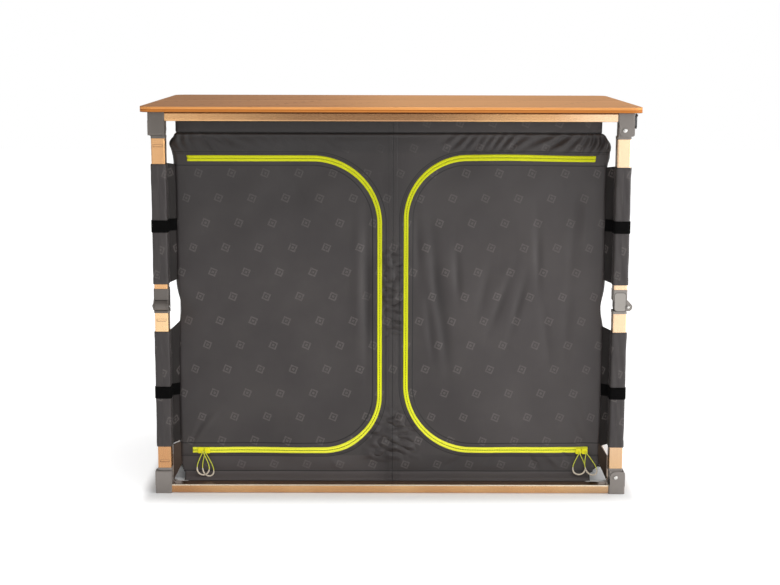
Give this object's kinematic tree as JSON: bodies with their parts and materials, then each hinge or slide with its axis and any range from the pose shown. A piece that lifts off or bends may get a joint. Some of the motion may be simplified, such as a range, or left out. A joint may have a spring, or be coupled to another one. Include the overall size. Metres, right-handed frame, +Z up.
{
  "type": "folding cupboard",
  "caption": "Folding camp kitchen cupboard with a board top, a collapsible frame of square tubes and a zipped cloth cabinet.",
  "frame": {"origin": "on the floor under the middle of the board", "axes": "+Z up, -Y towards the front with the zipped doors, +X to the right as seen from the front"},
  "size_m": [1.0056, 0.5706, 0.8],
  "materials": {
    "bamboo": "satin",
    "rail_aluminium": "satin",
    "leg_aluminium": "satin",
    "grey_plastic": "satin",
    "cloth": "matte",
    "shelf_board": "matte",
    "zip_pull": "satin",
    "black_wire": "satin"
  },
  "bodies": {
    "bottom_frame": {"bottom_rail_front": "rail_aluminium", "bottom_rail_back": "rail_aluminium", "bottom_rail_left": "rail_aluminium", "bottom_rail_right": "rail_aluminium", "bottom_bracket_fl": "grey_plastic", "bottom_bracket_fr": "grey_plastic", "bottom_bracket_rr": "grey_plastic", "bottom_bracket_rl": "grey_plastic", "floor_board": "shelf_board"},
    "lower_leg_fl": {"leg_end_lower_fl": "grey_plastic", "leg_tube_lower_fl": "leg_aluminium", "elbow_lower_fl": "grey_plastic", "leg_wrap_lower_fl": "cloth"},
    "lower_leg_fr": {"leg_end_lower_fr": "grey_plastic", "leg_tube_lower_fr": "leg_aluminium", "elbow_lower_fr": "grey_plastic", "leg_wrap_lower_fr": "cloth"},
    "lower_leg_rr": {"leg_end_lower_rr": "grey_plastic", "leg_tube_lower_rr": "leg_aluminium", "elbow_lower_rr": "grey_plastic", "leg_wrap_lower_rr": "cloth"},
    "lower_leg_rl": {"leg_end_lower_rl": "grey_plastic", "leg_tube_lower_rl": "leg_aluminium", "elbow_lower_rl": "grey_plastic", "leg_wrap_lower_rl": "cloth"},
    "upper_leg_fl": {"elbow_upper_fl": "grey_plastic", "leg_tube_upper_fl": "leg_aluminium", "leg_end_upper_fl": "grey_plastic", "leg_wrap_upper_fl": "cloth"},
    "upper_leg_fr": {"elbow_upper_fr": "grey_plastic", "leg_tube_upper_fr": "leg_aluminium", "leg_end_upper_fr": "grey_plastic", "leg_wrap_upper_fr": "cloth"},
    "upper_leg_rr": {"elbow_upper_rr": "grey_plastic", "leg_tube_upper_rr": "leg_aluminium", "leg_end_upper_rr": "grey_plastic", "leg_wrap_upper_rr": "cloth"},
    "upper_leg_rl": {"elbow_upper_rl": "grey_plastic", "leg_tube_upper_rl": "leg_aluminium", "leg_end_upper_rl": "grey_plastic", "leg_wrap_upper_rl": "cloth"},
    "top_frame": {"table_top": "bamboo", "top_rail_front": "rail_aluminium", "top_rail_back": "rail_aluminium", "top_rail_left": "rail_aluminium", "top_rail_right": "rail_aluminium", "top_bracket_fl": "grey_plastic", "top_bracket_fr": "grey_plastic", "top_bracket_rr": "grey_plastic", "top_bracket_rl": "grey_plastic", "cabinet": "cloth"},
    "door_left": {"door_left": "cloth"},
    "zip_slider_left": {"zip_slider_left": "zip_pull"},
    "zip_pull_left": {"zip_pull_left": "zip_pull"},
    "door_right": {"door_right": "cloth"},
    "zip_slider_right": {"zip_slider_right": "zip_pull"},
    "zip_pull_right": {"zip_pull_right": "zip_pull"},
    "shelf_lower": {"shelf_lower": "shelf_board"},
    "shelf_upper": {"shelf_upper": "shelf_board"},
    "hanging_ring": {"hanging_ring": "black_wire"}
  },
  "joints": [
    {"name": "fold_lower_leg_fl", "type": "hinge", "parent": "bottom_frame", "child": "lower_leg_fl", "pos_m": [-0.4681, -0.2506, 0.0353], "axis": [-1, 0, 0], "range_deg": [0, 90], "deforming": ["cabinet", "door_left", "door_right"]},
    {"name": "elbow_fl", "type": "hinge", "parent": "lower_leg_fl", "child": "upper_leg_fl", "pos_m": [-0.4681, -0.2671, 0.3944], "axis": [-1, 0, 0], "range_deg": [-181, 1]},
    {"name": "fold_lower_leg_fr", "type": "hinge", "parent": "bottom_frame", "child": "lower_leg_fr", "pos_m": [0.4681, -0.2506, 0.0353], "axis": [0, -1, 0], "range_deg": [-1, 91]},
    {"name": "elbow_fr", "type": "hinge", "parent": "lower_leg_fr", "child": "upper_leg_fr", "pos_m": [0.4846, -0.2506, 0.3944], "axis": [0, -1, 0], "range_deg": [-181, 1]},
    {"name": "fold_lower_leg_rr", "type": "hinge", "parent": "bottom_frame", "child": "lower_leg_rr", "pos_m": [0.4681, 0.2506, 0.0353], "axis": [1, 0, 0], "range_deg": [-1, 91]},
    {"name": "elbow_rr", "type": "hinge", "parent": "lower_leg_rr", "child": "upper_leg_rr", "pos_m": [0.4681, 0.2671, 0.3944], "axis": [1, 0, 0], "range_deg": [-181, 1]},
    {"name": "fold_lower_leg_rl", "type": "hinge", "parent": "bottom_frame", "child": "lower_leg_rl", "pos_m": [-0.4681, 0.2506, 0.0353], "axis": [0, 1, 0], "range_deg": [-1, 91]},
    {"name": "elbow_rl", "type": "hinge", "parent": "lower_leg_rl", "child": "upper_leg_rl", "pos_m": [-0.4846, 0.2506, 0.3944], "axis": [0, 1, 0], "range_deg": [-181, 1]},
    {"name": "top_pivot_fl", "type": "hinge", "parent": "upper_leg_fl", "child": "top_frame", "pos_m": [-0.4681, -0.2506, 0.7535], "axis": [-1, 0, 0], "range_deg": [-1, 91]},
    {"name": "drop_shelf_lower", "type": "slide", "parent": "bottom_frame", "child": "shelf_lower", "axis": [0, 0, -1], "range_m": [-0.002, 0.224]},
    {"name": "drop_shelf_upper", "type": "slide", "parent": "bottom_frame", "child": "shelf_upper", "axis": [0, 0, -1], "range_m": [-0.002, 0.449]},
    {"name": "open_door_left", "type": "hinge", "parent": "top_frame", "child": "door_left", "pos_m": [-0.415, -0.2267, 0.388], "axis": [0, 0, -1], "range_deg": [0, 110]},
    {"name": "run_zip_left", "type": "slide", "parent": "bottom_frame", "child": "zip_slider_left", "axis": [1, 0, 0], "range_m": [0, 0.232]},
    {"name": "swing_pull_left", "type": "hinge", "parent": "bottom_frame", "child": "zip_pull_left", "pos_m": [-0.4035, -0.2325, 0.0779], "axis": [0, 1, 0], "range_deg": [-25, 25]},
    {"name": "open_door_right", "type": "hinge", "parent": "top_frame", "child": "door_right", "pos_m": [0.415, -0.2267, 0.388], "axis": [0, 0, 1], "range_deg": [0, 110]},
    {"name": "run_zip_right", "type": "slide", "parent": "bottom_frame", "child": "zip_slider_right", "axis": [-1, 0, 0], "range_m": [0, 0.232]},
    {"name": "swing_pull_right", "type": "hinge", "parent": "bottom_frame", "child": "zip_pull_right", "pos_m": [0.4035, -0.2325, 0.0779], "axis": [0, 1, 0], "range_deg": [-25, 25]},
    {"name": "swing_ring", "type": "hinge", "parent": "top_frame", "child": "hanging_ring", "pos_m": [0.4909, -0.259, 0.7835], "axis": [1, 0, 0], "range_deg": [-35, 35]}
  ],
  "couplings": [
    {"joint": "elbow_fl", "follows": "fold_lower_leg_fl", "ratio": -2},
    {"joint": "elbow_fr", "follows": "fold_lower_leg_fl", "ratio": -2},
    {"joint": "fold_lower_leg_fr", "follows": "fold_lower_leg_fl", "ratio": 1},
    {"joint": "elbow_rr", "follows": "fold_lower_leg_fl", "ratio": -2},
    {"joint": "fold_lower_leg_rr", "follows": "fold_lower_leg_fl", "ratio": 1},
    {"joint": "elbow_rl", "follows": "fold_lower_leg_fl", "ratio": -2},
    {"joint": "fold_lower_leg_rl", "follows": "fold_lower_leg_fl", "ratio": 1},
    {"joint": "top_pivot_fl", "follows": "fold_lower_leg_fl", "ratio": 1},
    {"joint": "drop_shelf_lower", "follows": "fold_lower_leg_fl", "m_per_rad": 0.14133},
    {"joint": "drop_shelf_upper", "follows": "fold_lower_leg_fl", "m_per_rad": 0.28457}
  ]
}
